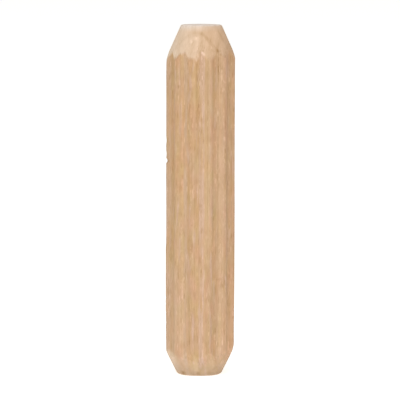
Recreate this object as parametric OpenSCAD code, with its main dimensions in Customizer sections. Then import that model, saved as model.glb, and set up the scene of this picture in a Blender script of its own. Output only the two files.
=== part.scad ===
// Fluted wooden dowel pin: one turned, straight-grained length of hardwood. Rounded ridges and hollow
// flutes run the whole length, and a cone is turned on each end, so the flutes run out in scallops.
// The pin stands on its foot at z = 0 with its axis on Z.

/* [Pin] */
// Diameter over the ridges
pin_d = 8; // [6:0.5:12]
// Overall length
pin_l = 40; // [25:1:80]

/* [Flutes] */
// Number of flutes round the pin
flute_count = 12; // [10:1:16]
// Depth of a flute below the ridges
flute_depth = 0.35; // [0.2:0.05:0.4]
// Radius of a ridge's rounded crest
ridge_r = 0.45; // [0.3:0.05:0.55]

/* [Ends] */
// Diameter of the flat top face, at its sharp corner
top_d = 4.7; // [3:0.1:6]
// Length of the cone below the top face
top_cone_l = 3.8; // [2:0.1:6]
// Diameter of the flat foot, at its sharp corner
foot_d = 5; // [3:0.1:6]
// Length of the cone above the foot
foot_cone_l = 3; // [2:0.1:6]
// Radius that rounds the rims of both faces
rim_r = 0.15; // [0.05:0.05:0.3]

/* [Nicks] */
// Height of the lowest nick above the foot
nick_z = 24.6; // [8:0.1:30]
// Depth of the lowest nick, which is the deepest
nick_depth = 0.15; // [0.05:0.05:0.25]
// Depth of the two long, shallow nicks above it
scrape_depth = 0.05; // [0.02:0.01:0.1]

/* [Hidden] */
$fn = 96;

pin_r = pin_d / 2;
flute_pitch = 360 / flute_count;

// Distances from the axis to the bottom of a flute and to the centre of a crest's arc
root_r = pin_r - flute_depth;
crest_ring = pin_r - ridge_r;

// Radius of the flute's arc that touches the crests on both sides without a corner
crest_x = crest_ring * cos(flute_pitch / 2);
crest_y = crest_ring * sin(flute_pitch / 2);
flute_r = ((crest_x - root_r) ^ 2 + crest_y ^ 2 - ridge_r ^ 2) / (2 * (crest_x - root_r + ridge_r));
flute_ring = root_r + flute_r;

// Where a flute's arc meets the crest beside it, as distance from the axis and angle from the flute
meet_share = ridge_r / (ridge_r + flute_r);
meet_x = crest_x + (flute_ring - crest_x) * meet_share;
meet_y = crest_y * (1 - meet_share);
meet_r = norm([meet_x, meet_y]);
meet_angle = atan2(meet_y, meet_x);

// The turned blank is this much wider than the ridges between its cones
blank_spare = 0.5;

// Crests and rims are this much larger in radius, so that they cross the surface they run into
// instead of only touching it
arc_overlap = 0.0001;

// Nicks on the left of the pin: [ridge, height, depth, length], with the ridges counted round from +X
nick_l = 0.5;
scrape_l = 0.85;
nick_drop = 0.22;
scrape_steps = [0.7, 2.3];
near_ridge = 6;
far_ridge = 5;
nicks = [
    for (side = [[near_ridge, 0], [far_ridge, nick_drop]])
        each [
            [side[0], nick_z - side[1], nick_depth, nick_l],
            for (step = scrape_steps) [side[0], nick_z + step - side[1], scrape_depth, scrape_l]
        ]
];

// Cross-section: a core with its corners where the arcs meet, a disc for each crest, less each flute
module fluted_section() {
    difference() {
        union() {
            polygon([
                for (flute = [0 : flute_count - 1], side = [-1, 1])
                    let (angle = flute * flute_pitch + side * meet_angle)
                        meet_r * [cos(angle), sin(angle)]
            ]);
            for (flute = [0 : flute_count - 1])
                rotate((flute + 0.5) * flute_pitch)
                    translate([crest_ring, 0]) circle(r = ridge_r + arc_overlap);
        }
        for (flute = [0 : flute_count - 1])
            rotate(flute * flute_pitch) translate([flute_ring, 0]) circle(r = flute_r);
    }
}

// Half outline of one end of the blank, standing on its face: flat face, rounded rim and cone
module end_outline(face_d, cone_l) {
    face_r = face_d / 2;
    cone_angle = atan2(pin_r - face_r, cone_l);
    rim_reach = rim_r * tan(45 - cone_angle / 2);
    face_edge = face_r - rim_reach;
    polygon([
        [0, 0],
        [face_edge, 0],
        [face_r + rim_reach * sin(cone_angle), rim_reach * cos(cone_angle)],
        [pin_r + blank_spare, cone_l + blank_spare / tan(cone_angle)],
        [pin_r + blank_spare, pin_l / 2],
        [0, pin_l / 2]
    ]);
    intersection() {
        translate([face_edge, rim_r]) circle(r = rim_r + arc_overlap);
        square(pin_r);
    }
}

// The outside that the lathe leaves: both cones, with room for the ridges between them
module turned_blank() {
    rotate_extrude() {
        end_outline(foot_d, foot_cone_l);
        translate([0, pin_l]) mirror([0, 1]) end_outline(top_d, top_cone_l);
    }
}

// Round-bottomed cut across one ridge, as deep and as long as asked
module ridge_nick(ridge, height, depth, length) {
    cut_r = ((length / 2) ^ 2 + depth ^ 2) / (2 * depth);
    rotate((ridge + 0.5) * flute_pitch)
        translate([pin_r + cut_r - depth, 0, height])
            rotate([90, 0, 0])
                cylinder(r = cut_r, h = 2 * ridge_r, center = true);
}

module dowel_pin() {
    color("burlywood")
        difference() {
            intersection() {
                linear_extrude(pin_l) fluted_section();
                turned_blank();
            }
            for (nick = nicks) ridge_nick(nick[0], nick[1], nick[2], nick[3]);
        }
}

dowel_pin();
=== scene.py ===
"""A fluted beech dowel pin: a turned length of straight-grained wood with rolled flutes and coned ends."""
import math

import bmesh
import bpy
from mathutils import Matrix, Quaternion, Vector, noise


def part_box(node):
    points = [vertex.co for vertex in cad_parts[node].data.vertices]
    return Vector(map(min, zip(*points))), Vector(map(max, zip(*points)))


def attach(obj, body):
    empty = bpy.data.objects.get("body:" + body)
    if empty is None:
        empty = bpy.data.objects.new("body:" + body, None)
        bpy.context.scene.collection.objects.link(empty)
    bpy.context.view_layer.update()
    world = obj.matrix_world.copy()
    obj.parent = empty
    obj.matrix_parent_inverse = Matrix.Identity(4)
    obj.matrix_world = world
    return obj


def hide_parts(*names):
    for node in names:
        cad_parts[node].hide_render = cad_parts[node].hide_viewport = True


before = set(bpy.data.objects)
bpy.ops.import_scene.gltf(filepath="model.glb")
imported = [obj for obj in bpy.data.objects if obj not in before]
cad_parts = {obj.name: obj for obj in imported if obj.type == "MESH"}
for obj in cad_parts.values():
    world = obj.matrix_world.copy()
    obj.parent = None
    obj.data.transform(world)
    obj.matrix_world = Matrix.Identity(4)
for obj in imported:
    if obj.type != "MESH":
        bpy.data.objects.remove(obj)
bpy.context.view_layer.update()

MM = 0.001
PIN = "dowel_pin"
WOOD = "dowel_pin_wood"

# ---------------------------------------------------------------------------------------------
# Sizes. The pin's place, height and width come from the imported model; the rest is the joiner's
# drawing of it, in metres.
# ---------------------------------------------------------------------------------------------
low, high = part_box(PIN)
foot_z = low.z
pin_length = high.z - low.z

FLUTES = 12
PITCH = math.tau / FLUTES
CREST_R = 0.45 * MM
FLUTE_DEPTH = 0.35 * MM
crest_ring = ((high.x - low.x) / 2 - CREST_R) / math.cos(PITCH / 2)
pin_r = crest_ring + CREST_R
root_r = pin_r - FLUTE_DEPTH

# The flute's arc touches the two crests beside it without a corner
crest_x = crest_ring * math.cos(PITCH / 2)
crest_y = crest_ring * math.sin(PITCH / 2)
flute_r = ((crest_x - root_r) ** 2 + crest_y ** 2 - CREST_R ** 2) / (2 * (crest_x - root_r + CREST_R))
flute_ring = root_r + flute_r
meet_share = CREST_R / (CREST_R + flute_r)
meet_angle = math.atan2(crest_y * (1 - meet_share), crest_x + (flute_ring - crest_x) * meet_share)

TOP_FACE_R = 2.30 * MM
TOP_CONE = 3.8 * MM
TOP_RIM_R = 0.26 * MM
FOOT_FACE_R = 2.5 * MM
FOOT_CONE = 3.0 * MM
FOOT_RIM_R = 0.42 * MM

# The cones are turned a little off the pin's axis: to the right at the top, to the left at the foot
TOP_OFF = 0.04 * MM
FOOT_OFF = -0.095 * MM

# ---------------------------------------------------------------------------------------------
# Wear
# ---------------------------------------------------------------------------------------------
# The corner between shank and cone is worn a little, and at the foot most of all on the right
CORNER_WEAR = 0.05 * MM
FOOT_CORNER_WEAR = 0.30 * MM
FOOT_CORNER_SIDE = math.radians(-12)
FOOT_CORNER_WIDTH = math.radians(24)
# The foot's edge is worn at the front
FOOT_EDGE_WEAR = 0.065 * MM
# The run-outs of the flutes are ragged, with large teeth and small ones: their heights, about how many
# large ones there are to a radian, and how many times smaller the small ones are
LARGE_TEETH = 0.06 * MM
SMALL_TEETH = 0.04 * MM
TEETH_TO_RADIAN = 9
TIMES_SMALLER = 3.1
FOOT_TEETH_SEED = 3.0
TOP_TEETH_SEED = 8.0
# End grain is a little uneven: how wide its pits are, how deep on average, and the share of the face
# at its edge over which they fade out
PIT_WIDTH = 0.3 * MM
PIT_DEPTH = 0.010 * MM
FACE_EDGE = 1 / 8

# Relief of the fibres, and of the waves that the rollers left: width, length and height in millimetres
FIBRE_RELIEF = (0.35, 2.2, 0.008)
WAVE_RELIEF = (1.6, 9.0, 0.014)
WAVE_SEED = 40

# Marks on the ridges, in millimetres: direction in degrees, height, half length and depth.
# A negative depth is a raised fibre. The ridges at 195 and 165 stand out on the left.
NICKS = (
    (195, 24.60, 0.28, 0.21), (165, 24.38, 0.28, 0.21),
    (195, 25.35, 0.42, 0.055), (165, 25.13, 0.42, 0.055),
    (195, 26.90, 0.45, 0.050), (165, 26.68, 0.45, 0.050),
    (195, 8.90, 0.22, 0.040), (165, 8.70, 0.22, 0.040),
    (195, 8.20, 0.12, 0.045), (165, 8.00, 0.12, 0.045),
    (195, 7.15, 0.14, 0.045), (165, 6.95, 0.14, 0.045),
    (195, 6.00, 0.20, 0.040), (165, 5.80, 0.20, 0.040),
    (195, 4.85, 0.14, 0.035), (165, 4.65, 0.14, 0.035),
    (-15, 7.60, 0.16, 0.035), (15, 7.40, 0.16, 0.035),
    (-15, 6.60, 0.30, -0.030), (15, 6.40, 0.30, -0.030),
)
NICK_WIDTH = math.radians(7)
# The power of the curve that a nick follows along its ridge
NICK_CURVE = 1.6
# The wood is torn in nicks of this depth or more, in millimetres, and less so in shallower ones. The nicks
# are darkened by as much: partly torn wood, partly painted shade in the nick
TORN_AND_SHADED_DEPTH = 0.1
# Where the top's cutter also scraped the shank: direction and half width in degrees, and how far
SCRAPES = (
    (-145, 4, 0.50), (-134, 4, -0.28), (-129.5, 3, -0.25), (-112.5, 3, 0.30), (-105, 4, -0.14),
    (-95.5, 4.5, 0.60), (-81, 4, 0.15), (-74, 5, -0.15), (-67, 4, 0.35), (-45, 7, -0.35),
    (-34, 4, 0.15), (-15, 6, 0.10), (20, 5, 0.35), (60, 8, 0.20), (105, 7, -0.20), (114, 4, 0.40),
    (165, 8, 0.15),
)
# How far the ridges on the left and on the right stand out from the drawing, in millimetres:
# height, left, right
SIDES = (
    (0, 0, 0), (3.6, 0, 0), (4.4, 0.025, -0.01), (6.5, 0.03, -0.01), (7.5, 0.06, 0.02),
    (14.6, 0.06, 0.04), (15.2, 0.015, 0.04), (19.5, 0.015, 0.03), (22.5, 0.035, 0.0),
    (35.5, 0.035, -0.01), (36.2, 0, 0), (40, 0, 0),
)
# They stand out fully where a direction's cosine is over the second value, and not at all under the first
SIDE_EDGE = (0.90, 0.95)

# Small chips and splits that the tools left in the cones, and darker patches on the foot's rim, in
# millimetres: direction in degrees, height, half width, half length, slant in degrees and how much lighter or
# darker
CHIPS = (
    (-88, 39.1, 0.20, 0.17, 0, -0.13), (-78, 38.6, 0.16, 0.28, 50, -0.12),
    (-101, 38.6, 0.26, 0.22, 0, 0.18), (-99.5, 38.8, 0.08, 0.09, 0, -0.22),
    (-110.5, 38.2, 0.09, 0.20, 40, 0.32), (-57.5, 37.2, 0.20, 0.17, 0, -0.26),
    (-67.5, 37.2, 0.11, 0.17, 0, -0.16), (-86.5, 36.9, 0.14, 0.28, 40, 0.34),
    (-91, 36.9, 0.09, 0.22, 15, -0.24), (-86, 37.2, 0.10, 0.10, 0, -0.22),
    (-57.5, 36.7, 0.10, 0.24, 50, 0.32), (-54, 36.7, 0.08, 0.10, 0, -0.18),
    (-95, 36.7, 0.10, 0.28, 0, 0.16), (-102, 38.8, 1.0, 0.45, 0, 0.05), (-70, 37.6, 0.5, 0.4, 0, -0.05),
    (-124, 2.2, 0.12, 0.18, 0, 0.18), (-115.5, 2.7, 0.15, 0.22, 0, 0.16),
    (-54.5, 2.9, 0.16, 0.55, -22, 0.08), (-83.5, 1.5, 0.06, 0.55, 0, -0.16),
    (-134, 0.35, 0.44, 0.25, 0, -0.42), (-94.5, 0.4, 0.30, 0.20, 0, -0.34),
    (-60, 0.3, 0.60, 0.25, 0, -0.08),
)
# The plainest of the wood's own flecks on the shank, with the same six values
FLECKS = (
    (-52, 35.2, 0.08, 0.15, 0, -0.20), (-52, 34.9, 0.08, 0.20, 0, 0.26), (-52, 34.2, 0.10, 0.35, 0, 0.32),
    (-54, 34.0, 0.06, 0.20, 0, -0.12), (-52, 32.9, 0.07, 0.17, 0, -0.20),
    (-53, 32.5, 0.07, 0.20, 0, -0.20), (-50, 32.8, 0.08, 0.25, 0, 0.26),
    (-106.5, 32.9, 0.14, 0.20, 0, -0.14), (-104, 32.3, 0.12, 0.35, 0, -0.10),
    (-103, 33.9, 0.08, 0.20, 0, 0.14), (-96, 34.2, 0.12, 0.50, 0, -0.10),
    (-108, 30.8, 0.10, 0.50, 0, -0.10), (-130, 32.9, 0.10, 0.15, 0, 0.16),
    (-108, 27.0, 0.12, 0.35, 0, -0.12), (-74, 27.3, 0.24, 0.30, 0, -0.10),
    (-95.5, 25.9, 0.08, 0.50, 0, -0.14), (-85, 23.7, 0.08, 0.25, 0, 0.18),
    (-94.5, 22.5, 0.22, 0.30, 0, -0.10), (-75.5, 24.1, 0.08, 0.30, 0, 0.12),
    (-104.5, 17.5, 0.10, 0.12, 0, -0.20), (-106.5, 17.5, 0.06, 0.20, 0, 0.14),
    (-100.5, 18.0, 0.08, 0.20, 0, 0.14), (-105, 15.5, 0.10, 0.90, 0, -0.09),
    (-101, 15.8, 0.07, 0.35, 0, 0.12), (-91, 13.6, 0.08, 0.45, 0, -0.18),
    (-96, 13.2, 0.10, 0.50, 0, 0.12), (-64, 13.8, 0.07, 0.25, 0, -0.15), (-79, 16.2, 0.12, 0.20, 0, 0.14),
    (-79, 4.0, 0.14, 0.60, 0, -0.08),
)
# A small figure like an arch, low on the right, with a crack beside it
ARCH = (
    (-61.5, 10.1, 0.14, 0.75, 5, -0.10), (-55.5, 11.3, 0.35, 0.13, 0, -0.13),
    (-50.5, 10.6, 0.15, 0.32, 0, -0.22), (-36, 10.0, 0.07, 0.90, 31, -0.24),
    (-28, 8.4, 0.07, 0.70, 0, -0.10), (-26.5, 7.0, 0.08, 0.55, 0, -0.18),
)
# Two broad streaks near the top
BROAD_MARKS = (
    (-57, 31.0, 0.30, 4.50, 0, 0.055), (-79, 31.5, 0.30, 4.50, 0, -0.05),
)
# Widths of all these are measured round the pin at this distance from its axis, in millimetres
MARK_RING = 3.6
# Nothing is seen of a mark beyond this many of its half sizes
MARK_REACH = 2.5

# How far up the foot's cutter left its smooth surface at the front, how much further it did so
# elsewhere, and how soft the border is
FOOT_CUT = 1.65 * MM
FOOT_CUT_MORE = 1.4 * MM
FOOT_CUT_SOFT = 0.35 * MM
# How soft the border of the top's cut is, below it on the shank and above it on the cone
TOP_CUT_SOFT_BELOW = 0.30 * MM
TOP_CUT_SOFT_ABOVE = 0.35 * MM

# ---------------------------------------------------------------------------------------------
# The blank's rows of points
# ---------------------------------------------------------------------------------------------
COLUMNS = 288
FACE_ROWS = 14
RIM_ROWS = 5
FOOT_CONE_ROWS = 22
SHANK_ROWS = 222
TOP_CONE_ROWS = 28
# How strongly the rows crowd together, at the wide ends of the cones and at both ends of the shank
CONE_CROWDING = 1.7
SHANK_CROWDING = 0.14
# Points of the blank that are closer than this are one
WELD = 1e-7

# ---------------------------------------------------------------------------------------------
# Colours of the wood
# ---------------------------------------------------------------------------------------------
# The growth rings face the front, a little to the left. Their width, and the place of one, are in
# millimetres
RING_TURN = math.radians(15.5)
RING_WIDTH = 1.35
RING_LINE = 2.93
# The patterns are laid out for a pin of this radius, in millimetres
HALF_WIDTH = 4.0

PINKISH = (0.560, 0.340, 0.209, 1)
YELLOWISH = (0.530, 0.351, 0.183, 1)
# How the wood's colour swings between rich brown and grey
RICH = (1.01, 0.975, 0.93, 1)
GREY = (0.99, 1.025, 1.07, 1)
LILAC = (0.578, 0.387, 0.280, 1)
GREYISH = (0.534, 0.360, 0.240, 1)
DULL = (0.542, 0.352, 0.215, 1)
RUSSET = (0.562, 0.328, 0.188, 1)
OLIVE = (0.533, 0.354, 0.199, 1)
# The cut cones are paler than the shank: partly the paler cut wood, partly painted light and sheen from the
# lamp above and to the left, so palest on the left
CONE_LEFT = (0.735, 0.580, 0.440, 1)
CONE_MIDDLE = (0.695, 0.512, 0.359, 1)
CONE_RIGHT = (0.656, 0.438, 0.274, 1)
# Painted shade on the foot's rim: a dark greyish brown
FOOT_RIM_SHADE = (0.30, 0.224, 0.158, 1)
# Painted shade in the bottoms of the flutes: they are browner there
FLUTE_SHADE_TINT = (1.0, 0.99, 0.90, 1)
FOOT_TINT = (0.935, 0.975, 1.0, 1)
# The end grain and the band beside the top face are paler and greyer than the shank: partly their own colour,
# partly painted sheen
END_GRAIN = (0.96, 0.83, 0.73, 1)
NEAR_FACE = (0.82, 0.78, 0.74, 1)
# How much red, green and blue change where the wood gets lighter or darker
WARMTH = (0.8, 1.0, 1.4)
# Streaks that run the whole length: place along the growth rings, and how much lighter or darker
STREAKS = (
    (-4.0, 0.0), (-3.2, -0.05), (-2.75, -0.045), (-2.4, 0.0), (-2.1, -0.05), (-1.75, -0.08),
    (-1.3, -0.01), (-0.9, 0.01), (-0.5, 0.01), (-0.15, -0.04), (0.03, -0.03), (0.3, 0.10), (0.5, 0.09),
    (0.82, -0.09), (1.1, -0.03), (1.4, 0.055), (1.8, 0.01), (2.2, 0.07), (2.53, -0.07), (2.9, 0.07),
    (3.1, 0.06), (3.3, -0.03), (3.55, 0.05), (3.75, 0.055), (4.0, 0.0),
)
# Lilac, greyish and olive streaks: place along the growth rings, half width and colour
TINTED_STREAKS = (
    (1.12, 0.42, LILAC), (1.75, 0.40, OLIVE), (-0.75, 0.34, GREYISH), (-3.25, 0.75, GREYISH),
    (2.95, 0.55, DULL),
)

# ---------------------------------------------------------------------------------------------
# Studio, in metres and degrees, with the lens and sensor in millimetres
# ---------------------------------------------------------------------------------------------
FLOOR_SIZE = 4.0
FLOOR_COLOUR = (0.9, 0.9, 0.9, 1)
FLOOR_GLOW = (1.0, 0.99, 0.965, 1)
FLOOR_GLOW_STRENGTH = 0.62
SKY_COLOUR = (1.0, 0.99, 0.96, 1)
SKY_STRENGTH = 0.42
LAMP_SIDE, LAMP_RISE, LAMP_DISTANCE = -12, 45, 0.7
LAMP_SIZE = 0.8
LAMP_ENERGY = 3.3
LAMP_COLOUR = (0.99, 1.0, 1.03)
# The camera leans a little, and looks just to the left of the pin's axis
CAMERA_SIDE, CAMERA_RISE, CAMERA_DISTANCE = 0, 6.2, 0.320
CAMERA_AIM_X = -0.00005
CAMERA_LEAN = 0.18
CAMERA_NEAR, CAMERA_FAR = 0.01, 20.0
LENS, SENSOR = 252.4, 36.0


# ---------------------------------------------------------------------------------------------
# Shape
# ---------------------------------------------------------------------------------------------
def section_radius(angle):
    """Distance from the axis to the fluted surface, for a direction round the pin."""
    from_flute = abs((angle + PITCH / 2) % PITCH - PITCH / 2)
    if from_flute <= meet_angle:
        reach = flute_ring * math.sin(from_flute)
        return flute_ring * math.cos(from_flute) - math.sqrt(flute_r ** 2 - reach ** 2)
    from_crest = PITCH / 2 - from_flute
    reach = crest_ring * math.sin(from_crest)
    return crest_ring * math.cos(from_crest) + math.sqrt(CREST_R ** 2 - reach ** 2)


class End:
    """One coned end: its flat face, its rounded rim and its cone, measured up from the face."""

    def __init__(self, face_r, rim_r, cone, off):
        self.face_r = face_r
        self.rim_r = rim_r
        self.off = off
        self.slope = (pin_r - face_r) / cone
        self.tilt = math.atan(self.slope)
        reach = rim_r * math.tan(math.pi / 4 - self.tilt / 2)
        self.flat_r = face_r - reach
        self.rim_top = reach * math.cos(self.tilt)

    def cone_radius(self, height, angle):
        return self.face_r + self.slope * height + self.off * math.cos(angle)

    def run_out(self, radius, angle):
        """Height at which the cone has that radius."""
        return (radius - self.face_r - self.off * math.cos(angle)) / self.slope

    def rim(self, share, angle):
        """A point of the rounded rim, from the face at 0 to the cone at 1."""
        turn = (math.pi / 2 - self.tilt) * share
        radius = self.flat_r + self.rim_r * math.sin(turn) + self.off * math.cos(angle)
        return radius, self.rim_r * (1 - math.cos(turn))

    def face(self, share, angle):
        return (self.flat_r + self.off * math.cos(angle)) * share


foot_end = End(FOOT_FACE_R, FOOT_RIM_R, FOOT_CONE, FOOT_OFF)
top_end = End(TOP_FACE_R, TOP_RIM_R, TOP_CONE, TOP_OFF)


def even(count):
    """Evenly spaced shares from 0 to 1."""
    return [step / count for step in range(count + 1)]


def crowded_to_end(count):
    """Shares from 0 to 1 that come closer together towards 1."""
    return [1 - (1 - share) ** CONE_CROWDING for share in even(count)]


def crowded_to_both(count):
    """Shares from 0 to 1 that come a little closer together at both ends."""
    return [(1 - SHANK_CROWDING) * share + SHANK_CROWDING * (1 - math.cos(math.pi * share)) / 2
            for share in even(count)]


# The rows from the middle of the foot to the middle of the top: zone, and share of the way through it
ROWS = (
    [("foot", share) for share in even(FACE_ROWS)[:-1]]
    + [("foot_rim", share) for share in even(RIM_ROWS)[:-1]]
    + [("foot_cone", share) for share in crowded_to_end(FOOT_CONE_ROWS)[:-1]]
    + [("shank", share) for share in crowded_to_both(SHANK_ROWS)[:-1]]
    + [("top_cone", share) for share in reversed(crowded_to_end(TOP_CONE_ROWS)[1:])]
    + [("top_rim", 1 - share) for share in even(RIM_ROWS)[:-1]]
    + [("top", 1 - share) for share in even(FACE_ROWS)]
)
FACES = ("foot", "top")


def eased(value, first, last):
    """0 before first, 1 after last, and a smooth step between them."""
    share = min(max((value - first) / (last - first), 0.0), 1.0)
    return share * share * (3 - 2 * share)


def aside(angle, middle, width):
    """How far a direction lies to the side of another, in widths."""
    return math.remainder(angle - middle, math.tau) / width


def soft_least(first, second, blend):
    """The smaller of two radii, with the corner between them worn over that width."""
    near = max(blend - abs(first - second), 0.0) / blend
    return min(first, second) - near * near * blend / 4


def foot_corner_wear(angle):
    """How far the corner between shank and cone is worn at the foot."""
    side = aside(angle, FOOT_CORNER_SIDE, FOOT_CORNER_WIDTH)
    return CORNER_WEAR + FOOT_CORNER_WEAR * math.exp(-side * side)


def foot_edge_wear(angle):
    """How much of the foot's edge is worn off: most at the front."""
    return FOOT_EDGE_WEAR * max(-math.sin(angle), 0.0) ** 4


def ragged(angle, seed):
    """How far up or down a flute's run-out is torn, where the cutter tore the fibres."""
    place = Vector((math.cos(angle) * TEETH_TO_RADIAN, math.sin(angle) * TEETH_TO_RADIAN, seed))
    return LARGE_TEETH * noise.noise(place) + SMALL_TEETH * noise.noise(place * TIMES_SMALLER)


def scraped(angle):
    """How much further down than its cone the cutter scraped each ridge, at the top."""
    drop = 0.0
    for degrees, wide, deepest in SCRAPES:
        drop += deepest * MM * math.exp(-aside(angle, math.radians(degrees), math.radians(wide)) ** 4)
    return drop


def pin_point(zone, share, angle):
    """Radius and height of a point on the finished pin, before the grain's relief."""
    section = section_radius(angle)
    foot_border = foot_end.run_out(section, angle) + ragged(angle, FOOT_TEETH_SEED)
    top_border = top_end.run_out(section, angle) + ragged(angle, TOP_TEETH_SEED) + scraped(angle)
    if zone == "foot":
        return foot_end.face(share, angle), share * foot_edge_wear(angle)
    if zone == "top":
        return top_end.face(share, angle), pin_length
    if zone == "foot_rim":
        radius, height = foot_end.rim(share, angle)
        return radius, height + (1 - share) * foot_edge_wear(angle)
    if zone == "top_rim":
        radius, height = top_end.rim(share, angle)
        return radius, pin_length - height
    if zone == "foot_cone":
        height = foot_end.rim_top + (foot_border - foot_end.rim_top) * share
    elif zone == "top_cone":
        height = pin_length - top_end.rim_top - (top_border - top_end.rim_top) * share
    else:
        height = foot_border + (pin_length - top_border - foot_border) * share
    radius = soft_least(section, foot_end.cone_radius(height, angle), foot_corner_wear(angle))
    radius = soft_least(radius, top_end.cone_radius(pin_length - height, angle), CORNER_WEAR)
    return radius, height


def nick_depth(angle, height):
    """Depth of the nicks at a point of the shank, and how much darker it is there: partly torn wood, partly
    painted shade.
    """
    depth = torn = 0.0
    for degrees, middle, half, deepest in NICKS:
        up = (height / MM - middle) / half
        side = aside(angle, math.radians(degrees), NICK_WIDTH)
        if abs(up) >= 1.0 or abs(side) >= 1.0:
            continue
        reach = (1 - abs(up) ** NICK_CURVE) * (1 - side * side)
        depth += deepest * MM * reach
        torn = max(torn, reach * min(abs(deepest) / TORN_AND_SHADED_DEPTH, 1.0))
    return depth, torn


def relief(pattern, angle, height, seed=0):
    """Height of a relief of that width, length and height at a point."""
    wide, long, tall = pattern
    place = Vector((HALF_WIDTH * math.cos(angle) / wide, HALF_WIDTH * math.sin(angle) / wide,
                    height / MM / long + seed))
    return tall * MM * noise.noise(place)


def side_ridges(angle, height):
    """How far the ridges on the left and on the right stand out at a point."""
    up = height / MM
    for (lower, *lower_sides), (upper, *upper_sides) in zip(SIDES, SIDES[1:]):
        if lower <= up < upper:
            step = (up - lower) / (upper - lower)
            left, right = (at_low + (at_up - at_low) * step
                           for at_low, at_up in zip(lower_sides, upper_sides))
            return MM * (left * eased(-math.cos(angle), *SIDE_EDGE)
                         + right * eased(math.cos(angle), *SIDE_EDGE))
    return 0.0


def pit_depth(point, share):
    """How deep the end grain lies at a point of a face. It is level with the rim at the face's edge."""
    place = Vector((point.co.x, point.co.y, 0)) / PIT_WIDTH
    return PIT_DEPTH * (1 + noise.noise(place)) * min(1, (1 - share) / FACE_EDGE)


def turned_blank():
    """Spins the pin's outline into a closed blank. Each point keeps the number of its row."""
    blank = bmesh.new()
    row_of = blank.verts.layers.int.new("row")
    crest = PITCH / 2
    outline = []
    for number, (zone, share) in enumerate(ROWS):
        radius, height = pin_point(zone, share, crest)
        point = blank.verts.new((radius, 0.0, foot_z + height))
        point[row_of] = number
        outline.append(point)
    for lower, upper in zip(outline, outline[1:]):
        blank.edges.new((lower, upper))
    bmesh.ops.spin(blank, geom=blank.verts[:] + blank.edges[:], cent=(0, 0, 0), axis=(0, 0, 1),
                   dvec=(0, 0, 0), angle=math.tau, steps=COLUMNS, use_merge=True)
    bmesh.ops.remove_doubles(blank, verts=blank.verts[:], dist=WELD)
    bmesh.ops.recalc_face_normals(blank, faces=blank.faces[:])
    return blank, row_of


def flute_the_blank(blank, row_of):
    """Moves each point of the blank in to the rolled flutes and cones, with their nicks and grain."""
    torn_of = blank.verts.layers.float.new("torn")
    for point in blank.verts:
        zone, share = ROWS[point[row_of]]
        if zone in FACES and share == 0.0:
            continue
        angle = math.atan2(point.co.y, point.co.x)
        radius, height = pin_point(zone, share, angle)
        if zone in FACES:
            height += pit_depth(point, share) * (1 if zone == "foot" else -1)
        else:
            radius += relief(FIBRE_RELIEF, angle, height) + relief(WAVE_RELIEF, angle, height, WAVE_SEED)
        if zone == "shank":
            depth, point[torn_of] = nick_depth(angle, height)
            radius += side_ridges(angle, height) - depth
        point.co = (radius * math.cos(angle), radius * math.sin(angle), foot_z + height)


# ---------------------------------------------------------------------------------------------
# What each point of the surface shows
# ---------------------------------------------------------------------------------------------
def chips(angle, height):
    """How much lighter or darker the chips, splits and flecks make a point of the surface."""
    lighter = 0.0
    for degrees, middle, wide, tall, slant, change in CHIPS + FLECKS + ARCH + BROAD_MARKS:
        up = height / MM - middle
        if abs(up) > MARK_REACH * (wide + tall):
            continue
        side = aside(angle, math.radians(degrees), 1.0) * MARK_RING
        turn = math.radians(slant)
        along = up * math.cos(turn) - side * math.sin(turn)
        across = side * math.cos(turn) + up * math.sin(turn)
        lighter += change * math.exp(-(along / tall) ** 4 - (across / wide) ** 2)
    return lighter


def foot_cut(angle, height):
    """1 where the foot's cutter left its smooth surface. It reaches least far up at the front, and
    its border is softer there."""
    front = max(-math.sin(angle), 0.0)
    border = FOOT_CUT + FOOT_CUT_MORE * (1 - front * front)
    soft = FOOT_CUT_SOFT * (1 + front)
    return eased(border - height, -soft, soft)


def cut_share(zone, share, angle, height):
    """1 where the surface was cut by the cone's cutter, 0 where it was rolled, and soft between."""
    if zone == "shank" and share > 0.5:
        gap = (1 - share) * (pin_length - TOP_CONE - FOOT_CONE)
        return 0.5 * (1 - eased(gap, 0.0, TOP_CUT_SOFT_BELOW))
    if zone == "top_cone":
        return 0.5 + 0.5 * eased((1 - share) * TOP_CONE, 0.0, TOP_CUT_SOFT_ABOVE)
    if zone in ("shank", "foot_cone"):
        return foot_cut(angle, height)
    return 1.0


def end_grain_share(zone, share):
    """1 on the faces, fading out over their rims."""
    if zone in FACES:
        return 1.0
    return 1 - share if zone in ("foot_rim", "top_rim") else 0.0


def mark_surface(blank, row_of):
    """Notes on each point what its material has to know."""
    cut, end_grain, hollow, chip = (
        blank.verts.layers.float.new(name) for name in ("cut", "end_grain", "hollow", "chip"))
    for point in blank.verts:
        zone, share = ROWS[point[row_of]]
        angle, height = math.atan2(point.co.y, point.co.x), point.co.z - foot_z
        radius = math.hypot(point.co.x, point.co.y)
        point[cut] = cut_share(zone, share, angle, height)
        point[end_grain] = end_grain_share(zone, share)
        point[hollow] = (pin_r - radius) / FLUTE_DEPTH if zone == "shank" else 0.0
        point[chip] = 0.0 if zone in FACES else chips(angle, height)


def build_pin():
    blank, row_of = turned_blank()
    flute_the_blank(blank, row_of)
    mark_surface(blank, row_of)
    mesh = bpy.data.meshes.new(WOOD)
    blank.to_mesh(mesh)
    blank.free()
    mesh.shade_smooth()
    piece = bpy.data.objects.new(WOOD, mesh)
    bpy.context.scene.collection.objects.link(piece)
    return piece


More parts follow.
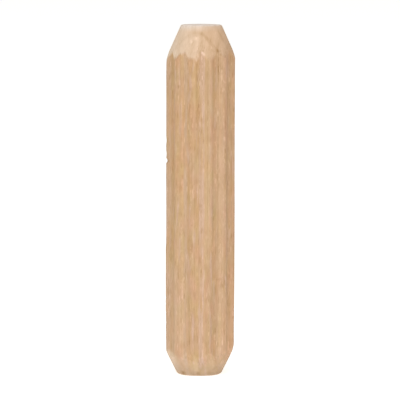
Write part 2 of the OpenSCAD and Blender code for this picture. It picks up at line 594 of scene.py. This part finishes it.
# ---------------------------------------------------------------------------------------------
# Materials
# ---------------------------------------------------------------------------------------------
class Recipe:
    """Builds one material, node by node."""

    def __init__(self, name):
        self.material = bpy.data.materials.new(name)
        self.material.use_nodes = True
        self.tree = self.material.node_tree
        self.shader = self.tree.nodes["Principled BSDF"]

    def add(self, kind, **settings):
        node = self.tree.nodes.new(kind)
        for name, value in settings.items():
            setattr(node, name, value)
        return node

    def feed(self, socket, source):
        """Joins a source to a socket, or sets the socket to it if it is a plain number or colour."""
        if isinstance(source, (int, float, tuple)):
            socket.default_value = source
        else:
            self.tree.links.new(source, socket)

    def feed_all(self, sockets, sources):
        for socket, source in zip(sockets, sources):
            self.feed(socket, source)

    def sum(self, operation, *terms):
        node = self.add("ShaderNodeMath", operation=operation)
        self.feed_all(node.inputs, terms)
        return node.outputs[0]

    def span(self, value, low, high, out_low=0.0, out_high=1.0, kind="LINEAR"):
        """Maps the range low..high to out_low..out_high and holds the ends."""
        node = self.add("ShaderNodeMapRange", interpolation_type=kind)
        self.feed_all(node.inputs, (value, low, high, out_low, out_high))
        return node.outputs[0]

    def blend(self, share, first, second, kind="MIX"):
        """Mixes two colours, or multiplies the first by as much of the second."""
        node = self.add("ShaderNodeMix", data_type="RGBA", blend_type=kind)
        self.feed_all((node.inputs[0], node.inputs[6], node.inputs[7]), (share, first, second))
        return node.outputs[2]

    def swing(self, pattern, amount, middle):
        """Adds a pattern, which lies about 0.5, to a value as a swing to both sides of it."""
        return self.sum("MULTIPLY_ADD", self.sum("SUBTRACT", pattern, 0.5), amount, middle)

    def away(self, value, middle):
        """How far a value lies from the middle, to either side."""
        return self.sum("ABSOLUTE", self.sum("SUBTRACT", value, middle))

    def shade(self, colour, light):
        """Makes wood lighter or darker: its darks are browner, and its lights less so."""
        factor = self.add("ShaderNodeVectorMath", operation="MULTIPLY_ADD")
        self.feed_all(factor.inputs, (self.sum("SUBTRACT", light, 1.0), WARMTH, (1, 1, 1)))
        node = self.add("ShaderNodeVectorMath", operation="MULTIPLY")
        self.feed_all(node.inputs, (colour, factor.outputs[0]))
        return node.outputs[0]

    def stretch(self, place, across, through, along, turn=0.0, shift=(0.0, 0.0, 0.0)):
        """Coordinates in which a pattern has that size, in the place's own unit, on each axis."""
        node = self.add("ShaderNodeMapping")
        self.feed(node.inputs["Vector"], place)
        node.inputs["Scale"].default_value = (1 / across, 1 / through, 1 / along)
        node.inputs["Rotation"].default_value = (0.0, 0.0, turn)
        node.inputs["Location"].default_value = shift
        return node.outputs[0]


class Wood(Recipe):
    """A recipe whose patterns lie in the wood's own depth. Places and sizes are in millimetres: across
    is along the growth rings, inward is into the wood, and along is up the grain from the foot."""

    def __init__(self, name):
        super().__init__(name)
        own = self.add("ShaderNodeTexCoord").outputs["Object"]
        self.place = self.stretch(own, MM, MM, MM, turn=RING_TURN)
        axes = self.add("ShaderNodeSeparateXYZ")
        self.feed(axes.inputs[0], self.place)
        self.across, self.inward, self.along = axes.outputs
        self.cut_mark, self.end_grain, self.hollow, self.torn, self.chip = (
            self.add("ShaderNodeAttribute", attribute_name=mark).outputs["Fac"]
            for mark in ("cut", "end_grain", "hollow", "torn", "chip"))

    def cloud(self, across, through, along, shift=(0.0, 0.0, 0.0), detail=1.0):
        """A cloudy pattern, lighter and darker about 0.5, with patches of that size."""
        node = self.add("ShaderNodeTexNoise")
        self.feed(node.inputs["Vector"], self.stretch(self.place, across, through, along, shift=shift))
        node.inputs["Scale"].default_value = 1.0
        node.inputs["Detail"].default_value = detail
        return node.outputs[0]

    def scatter(self, across, through, along, shift=(0.0, 0.0, 0.0)):
        """Points scattered that far apart: distance to the nearest one, and a value of its own."""
        node = self.add("ShaderNodeTexVoronoi", feature="F1")
        self.feed(node.inputs["Vector"], self.stretch(self.place, across, through, along, shift=shift))
        node.inputs["Scale"].default_value = 1.0
        parts = self.add("ShaderNodeSeparateColor")
        self.feed(parts.inputs[0], node.outputs["Color"])
        return node.outputs["Distance"], parts.outputs[0]


def beech():
    """Straight-grained beech: growth rings, rays, fibres and pores, paler where it is cut, with painted light
    on the cut and painted shade in the flutes, in the nicks and on the foot's rim.
    """
    r = Wood("beech")
    cut, pale_and_lit = cut_surface(r)
    fibres = fibre_lines(r, 0.13, 4.0, 3.0)
    light = light_and_dark(r, fibres, cut)
    colour = r.blend(pale_and_lit, rolled_colour(r), cut_and_lit_colour(r))
    colour = tinted_ends(r, colour)
    # Painted shade darkens the foot's rim towards a dark greyish brown, in blotches
    colour = r.blend(foot_rim_shade(r), r.shade(colour, light), FOOT_RIM_SHADE)
    r.feed(r.shader.inputs["Base Color"], colour)
    gloss_and_relief(r, fibres, cut)
    return r.material


def cut_surface(r):
    """Where the surface is cut, and how much paler it is there: partly the paler cut wood, partly painted
    light and sheen.
    """
    # The edge of the cut surface is torn along the fibres
    tear = r.cloud(0.12, 0.3, 1.2, shift=(2.0, 2.0, 9.0))
    cut = r.span(r.swing(tear, 0.8, r.cut_mark), 0.2, 0.8)
    # The cut is pale at the top, less so near its border on the right, and little at the foot. Part of this
    # paleness is painted light from the lamp above and to the left, with its sheen
    fade = r.sum("MULTIPLY", r.span(r.along, 38.0, 36.4), r.span(r.across, 0.0, 0.9, 0.0, 0.28))
    fade = r.sum("MAXIMUM", fade, r.span(r.across, 2.8, 3.5, 0.0, 0.6))
    pale_and_lit = r.sum("MAXIMUM", r.span(r.across, -2.6, -1.2, 0.60, 0.22), r.span(r.along, 18.0, 22.0))
    pale_and_lit = r.sum("MULTIPLY", r.sum("MULTIPLY", cut, pale_and_lit), r.sum("SUBTRACT", 1.0, fade))
    return cut, pale_and_lit


def light_and_dark(r, fibres, cut):
    """How light each place is, about 1: straight lines of fibres, from full-length streaks down to short
    flecks, with the rays, the growth rings and the marks on the surface, and painted shade in the bottoms of
    the flutes and in the nicks."""
    light = r.sum("MULTIPLY_ADD", fibre_lines(r, 0.26, 7.0, 0.0), 0.26, 1.0)
    light = r.sum("MULTIPLY_ADD", fibres, 0.40, light)
    light = r.sum("ADD", light, short_marks(r))
    light = r.sum("ADD", light, rays(r))
    # It is a little lighter towards the foot
    light = r.sum("ADD", light, r.span(r.along, 4.0, 36.0, 0.035, -0.035))
    # The cut cones show the fibres' ends, so their pattern is fainter than the rolled shank's, and
    # faintest close to the top face
    near_top = r.span(r.along, 37.9, 39.3, 1.0, 0.4)
    plain = r.sum("MULTIPLY", near_top, r.sum("MULTIPLY_ADD", cut, -0.55, 1.0))
    light = r.sum("MULTIPLY_ADD", r.sum("SUBTRACT", light, 1.0), plain, 1.0)
    light = r.swing(r.cloud(0.9, 0.9, 1.6), 0.16, light)
    # On the faces the streaks are seen end on, and hardly show
    streaks = r.sum("MULTIPLY", full_length_streaks(r), r.span(r.end_grain, 0.0, 1.0, near_top, 0.3))
    light = r.sum("ADD", light, r.sum("ADD", streaks, growth_rings(r)))
    # Painted shade: a little darker in the bottoms of the flutes
    light = r.sum("MULTIPLY_ADD", r.hollow, -0.01, light)
    light = r.sum("ADD", light, r.chip)
    # The nicks are darker: partly torn wood, partly painted shade
    return r.sum("MULTIPLY_ADD", r.torn, -0.18, light)


def fibre_lines(r, wide, long, seed, gate=(0.38, 0.62)):
    """Straight lines of that width, lighter and darker about 0. They come and go along the grain,
    in patches of that length, where a second pattern passes the gate."""
    lines = r.cloud(wide, 2.2 * wide, 45.0, shift=(seed, 0.0, 0.0))
    patches = r.cloud(2.5 * wide, 4 * wide, long, shift=(0.0, seed, 0.0))
    return r.sum("MULTIPLY", r.sum("SUBTRACT", lines, 0.5), r.span(patches, *gate, 0.1, 1.0))


def short_marks(r):
    """Short flecks, bundles and dashes of fibres, lighter and darker about 0. They are plainer in
    some patches than in others, and faintest from the middle up to the top cone."""
    flecks = fibre_lines(r, 0.10, 0.45, 7.0, gate=(0.50, 0.56))
    bundle = r.scatter(0.12, 0.40, 0.9)[1]
    short = r.swing(bundle, 0.10, r.sum("MULTIPLY", flecks, 0.9))
    short = r.sum("ADD", short, dashes(r))
    calm = r.cloud(1.1, 1.1, 3.0, shift=(6.0, 2.0, 4.0))
    short = r.sum("MULTIPLY", short, r.span(calm, 0.38, 0.62, 0.6, 1.35))
    clear = r.sum("MAXIMUM", r.span(r.along, 9.0, 19.0, 1.0, 0.84), r.span(r.along, 30.0, 33.0, 0.0, 1.0))
    return r.sum("MULTIPLY", short, clear)


def dashes(r):
    """Scattered short upright dashes, some lighter and some darker than the wood round them."""
    distance, tint = r.scatter(0.18, 0.45, 1.2, shift=(4.0, 1.0, 3.0))
    dash = r.span(distance, 0.22, 0.34, 1.0, 0.0, "SMOOTHSTEP")
    return r.sum("MULTIPLY", dash, r.span(tint, 0.0, 1.0, -0.22, 0.29))


def rays(r):
    """Thin upright lenses that run inwards: dark flecks seen edge-on, pale flakes seen side-on."""
    ray = r.span(r.scatter(0.36, 9.0, 3.0)[0], 0.13, 0.20, 1.0, 0.0, "SMOOTHSTEP")
    out = r.sum("SQRT", r.sum("ADD", r.sum("MULTIPLY", r.across, r.across),
                              r.sum("MULTIPLY", r.inward, r.inward)))
    edge_on = r.sum("DIVIDE", r.sum("ABSOLUTE", r.inward), r.sum("MAXIMUM", out, 0.01))
    return r.sum("MULTIPLY", ray, r.span(edge_on, 0.25, 0.65, 0.12, -0.13))


def full_length_streaks(r):
    """Straight-grained wood carries some streaks from end to end."""
    place = r.swing(r.cloud(3.0, 3.0, 9.0), 0.30, r.across)
    lines = r.add("ShaderNodeValToRGB")
    r.feed(lines.inputs[0], r.span(place, -HALF_WIDTH, HALF_WIDTH))
    stops = lines.color_ramp.elements
    stops.remove(stops[0])
    for number, (where, lighter) in enumerate(STREAKS):
        share = (where + HALF_WIDTH) / (2 * HALF_WIDTH)
        stop = stops[0] if number == 0 else stops.new(share)
        stop.position = share
        stop.color = (0.5 + lighter, 0.5 + lighter, 0.5 + lighter, 1)
    return r.sum("SUBTRACT", lines.outputs[0], 0.5)


def ring_years(r):
    """Depth in the wood, counted in years. The layers are nearly flat, and turn a little round the
    pin towards its foot."""
    drift = r.sum("MULTIPLY", r.across, r.span(r.along, 0.0, 40.0, 0.27, 0.0))
    depth = r.sum("SUBTRACT", drift, r.inward)
    depth = r.sum("MULTIPLY_ADD", r.sum("MULTIPLY", r.across, r.across), 0.03, depth)
    depth = r.sum("MULTIPLY_ADD", r.cloud(2.0, 2.0, 14.0), 0.5, depth)
    return r.sum("DIVIDE", r.sum("SUBTRACT", depth, RING_LINE), RING_WIDTH)


def growth_rings(r):
    """Darker lines where one year's growth ends, fainter on the left."""
    years = ring_years(r)
    edge = r.span(r.sum("PINGPONG", years, 0.5), 0.03, 0.15, 1.0, 0.0, "SMOOTHSTEP")
    broken = r.cloud(0.5, 0.5, 1.2, shift=(5.0, 1.0, 7.0))
    edge = r.sum("MULTIPLY", edge, r.span(broken, 0.35, 0.65, 0.35, 1.0))
    edge = r.sum("MULTIPLY", edge, r.span(r.across, -1.2, 0.9, 0.35, 1.0))
    late_wood = r.sum("POWER", r.sum("FRACT", years), 3.0)
    return r.sum("MULTIPLY_ADD", late_wood, -0.03, r.sum("MULTIPLY", edge, -0.12))


def rolled_colour(r):
    """The shank's colour: from pinkish to yellowish and from rich brown to grey, with lilac patches,
    tinted streaks and a redder right side."""
    tone = r.sum("MULTIPLY_ADD", r.across, -0.02, r.cloud(0.95, 1.0, 2.4))
    body = r.blend(r.span(tone, 0.27, 0.73), PINKISH, YELLOWISH)
    # The upper part is richest down its middle
    depth = r.cloud(0.9, 1.0, 2.6, shift=(8.0, 5.0, 3.0))
    upper_middle = r.span(r.away(r.across, -0.4), 0.6, 1.2, 1.0, 0.0)
    depth = r.sum("MULTIPLY_ADD", upper_middle, r.span(r.along, 24.0, 28.0, 0.0, -0.12), depth)
    body = r.blend(1.0, body, r.blend(r.span(depth, 0.3, 0.7), RICH, GREY), kind="MULTIPLY")

    # Lilac comes in patches, on the lower left and on the far left at mid height
    patch = r.cloud(0.4, 0.6, 3.0, shift=(3.0, 8.0, 2.0))
    lower_left = r.sum("MULTIPLY", r.span(r.across, -0.5, -1.2, 0.0, 0.28), r.span(r.along, 14.0, 12.0))
    from_middle = r.away(r.along, 21.0)
    far_left = r.sum("MULTIPLY", r.span(r.across, -2.6, -3.0, 0.0, 0.35),
                     r.span(from_middle, 4.0, 6.0, 1.0, 0.0))
    lilac = r.sum("MAXIMUM", r.span(patch, 0.58, 0.70, 0.0, 0.6, "SMOOTHSTEP"), lower_left)
    body = r.blend(r.sum("MAXIMUM", lilac, far_left), body, LILAC)

    # The tinted streaks are plainest at mid height and near the top, and in patches elsewhere
    strength = r.sum("MAXIMUM", r.span(patch, 0.36, 0.58, 0.1, 1.0), r.span(from_middle, 1.5, 4.0, 1.0, 0.0))
    strength = r.sum("MAXIMUM", strength, r.span(r.along, 30.0, 33.0, 0.0, 0.8))
    for place, half, tint in TINTED_STREAKS:
        streak = r.span(r.away(r.across, place), 0.4 * half, half, 1.0, 0.0, "SMOOTHSTEP")
        body = r.blend(r.sum("MULTIPLY", streak, strength), body, tint)

    # The far right is redder, most of all low down
    far_right = r.sum("MULTIPLY", r.span(r.across, 3.2, 3.6, 0.0, 0.5), r.span(r.along, 10.5, 8.5, 0.35, 1.0))
    return r.blend(far_right, body, RUSSET)


def cut_and_lit_colour(r):
    """The cut cones and faces are paler than the rolled shank, most of all on the left: partly the paler cut
    wood, partly painted light and sheen from the lamp above and to the left.
    """
    pale = r.blend(r.span(r.across, -1.0, 1.8), CONE_MIDDLE, CONE_RIGHT)
    return r.blend(r.span(r.across, -3.0, -1.0), CONE_LEFT, pale)


def tinted_ends(r, colour):
    """The colour on and beside the faces, paler there partly as painted sheen, with painted shade in the
    bottoms of the flutes and a tint near the foot.
    """
    # A paler, greyer band beside the top face: partly painted sheen
    near_face = r.span(r.along, 39.2, 39.95, 0.0, 0.30, "SMOOTHSTEP")
    near_face = r.sum("MULTIPLY", near_face, r.span(r.across, -0.6, 2.0, 1.3, 0.4))
    colour = r.blend(near_face, colour, NEAR_FACE)
    # The faces' end grain is pale, partly as painted sheen
    colour = r.blend(r.end_grain, colour, END_GRAIN)
    # Painted shade: the bottoms of the flutes are browner
    colour = r.blend(r.span(r.hollow, 0.1, 0.8, 0.0, 0.6), colour, FLUTE_SHADE_TINT, kind="MULTIPLY")
    return r.blend(r.span(r.along, 1.2, 3.2, 1.0, 0.0), colour, FOOT_TINT, kind="MULTIPLY")


def foot_rim_shade(r):
    """How much painted shade darkens the foot's rim, in blotches."""
    blotches = r.cloud(0.8, 0.8, 0.5, shift=(0.3, 0.0, 0.0), detail=2.0)
    return r.sum("MULTIPLY", r.span(r.along, 0.0, 1.6, 0.50, 0.0), r.span(blotches, 0.35, 0.6, 0.5, 1.0))


def gloss_and_relief(r, fibres, cut):
    """The fibres differ in gloss, the cut is duller, and fibres and pores stand out of the surface."""
    rough = r.span(fibres, -0.15, 0.15, 0.60, 0.74)
    r.feed(r.shader.inputs["Roughness"], r.sum("MULTIPLY_ADD", cut, 0.08, rough))
    r.shader.inputs["Specular IOR Level"].default_value = 0.3
    bump = r.add("ShaderNodeBump")
    bump.inputs["Strength"].default_value = 0.6
    bump.inputs["Distance"].default_value = 0.03 * MM
    r.feed(bump.inputs["Height"], r.sum("MULTIPLY_ADD", r.cloud(0.09, 0.09, 1.3), 0.5, fibres))
    r.feed(r.shader.inputs["Normal"], bump.outputs[0])


def pale_floor():
    """Plain white, and slightly luminous, so that it stays white round the pin."""
    recipe = Recipe("pale_floor")
    for name, value in (("Base Color", FLOOR_COLOUR), ("Roughness", 0.9), ("Specular IOR Level", 0.1),
                        ("Emission Color", FLOOR_GLOW), ("Emission Strength", FLOOR_GLOW_STRENGTH)):
        recipe.shader.inputs[name].default_value = value
    return recipe.material


# ---------------------------------------------------------------------------------------------
# Studio
# ---------------------------------------------------------------------------------------------
def make_floor():
    board = bmesh.new()
    bmesh.ops.create_grid(board, x_segments=1, y_segments=1, size=FLOOR_SIZE)
    bmesh.ops.translate(board, verts=board.verts[:], vec=(0, 0, foot_z))
    mesh = bpy.data.meshes.new("studio_floor")
    board.to_mesh(mesh)
    board.free()
    floor = bpy.data.objects.new("studio_floor", mesh)
    bpy.context.scene.collection.objects.link(floor)
    floor.data.materials.append(pale_floor())


def look_from(side, rise, distance, target, lean=0.0):
    """Place and turn of something that faces the target from that side, in degrees."""
    side, rise = math.radians(side), math.radians(rise)
    back = Vector((math.sin(side) * math.cos(rise), -math.cos(side) * math.cos(rise), math.sin(rise)))
    turn = (-back).to_track_quat("-Z", "Y") @ Quaternion((0, 0, 1), math.radians(lean))
    return target + back * distance, turn


def set_up(thing, place, turn):
    """Stands a lamp or a camera at that place, turned that way."""
    stand = bpy.data.objects.new(thing.name, thing)
    stand.location = place
    stand.rotation_mode = "QUATERNION"
    stand.rotation_quaternion = turn
    bpy.context.scene.collection.objects.link(stand)
    return stand


def make_lights():
    world = bpy.data.worlds.new("studio")
    world.use_nodes = True
    sky = world.node_tree.nodes["Background"]
    sky.inputs["Color"].default_value = SKY_COLOUR
    sky.inputs["Strength"].default_value = SKY_STRENGTH
    bpy.context.scene.world = world
    lamp = bpy.data.lights.new("softbox", "AREA")
    lamp.shape = "SQUARE"
    lamp.size = LAMP_SIZE
    lamp.energy = LAMP_ENERGY
    lamp.color = LAMP_COLOUR
    middle = Vector((0, 0, foot_z + pin_length / 2))
    set_up(lamp, *look_from(LAMP_SIDE, LAMP_RISE, LAMP_DISTANCE, middle))


def make_camera():
    lens = bpy.data.cameras.new("camera")
    lens.sensor_width = SENSOR
    lens.lens = LENS
    lens.clip_start = CAMERA_NEAR
    lens.clip_end = CAMERA_FAR
    target = Vector((CAMERA_AIM_X, 0, foot_z + pin_length / 2))
    camera = set_up(lens, *look_from(CAMERA_SIDE, CAMERA_RISE, CAMERA_DISTANCE, target, CAMERA_LEAN))
    bpy.context.scene.camera = camera


bpy.context.scene.view_settings.view_transform = "Standard"
bpy.context.scene.view_settings.look = "None"

make_camera()
make_lights()
make_floor()

pin = build_pin()
pin.data.materials.append(beech())
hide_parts(PIN)
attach(pin, "root")
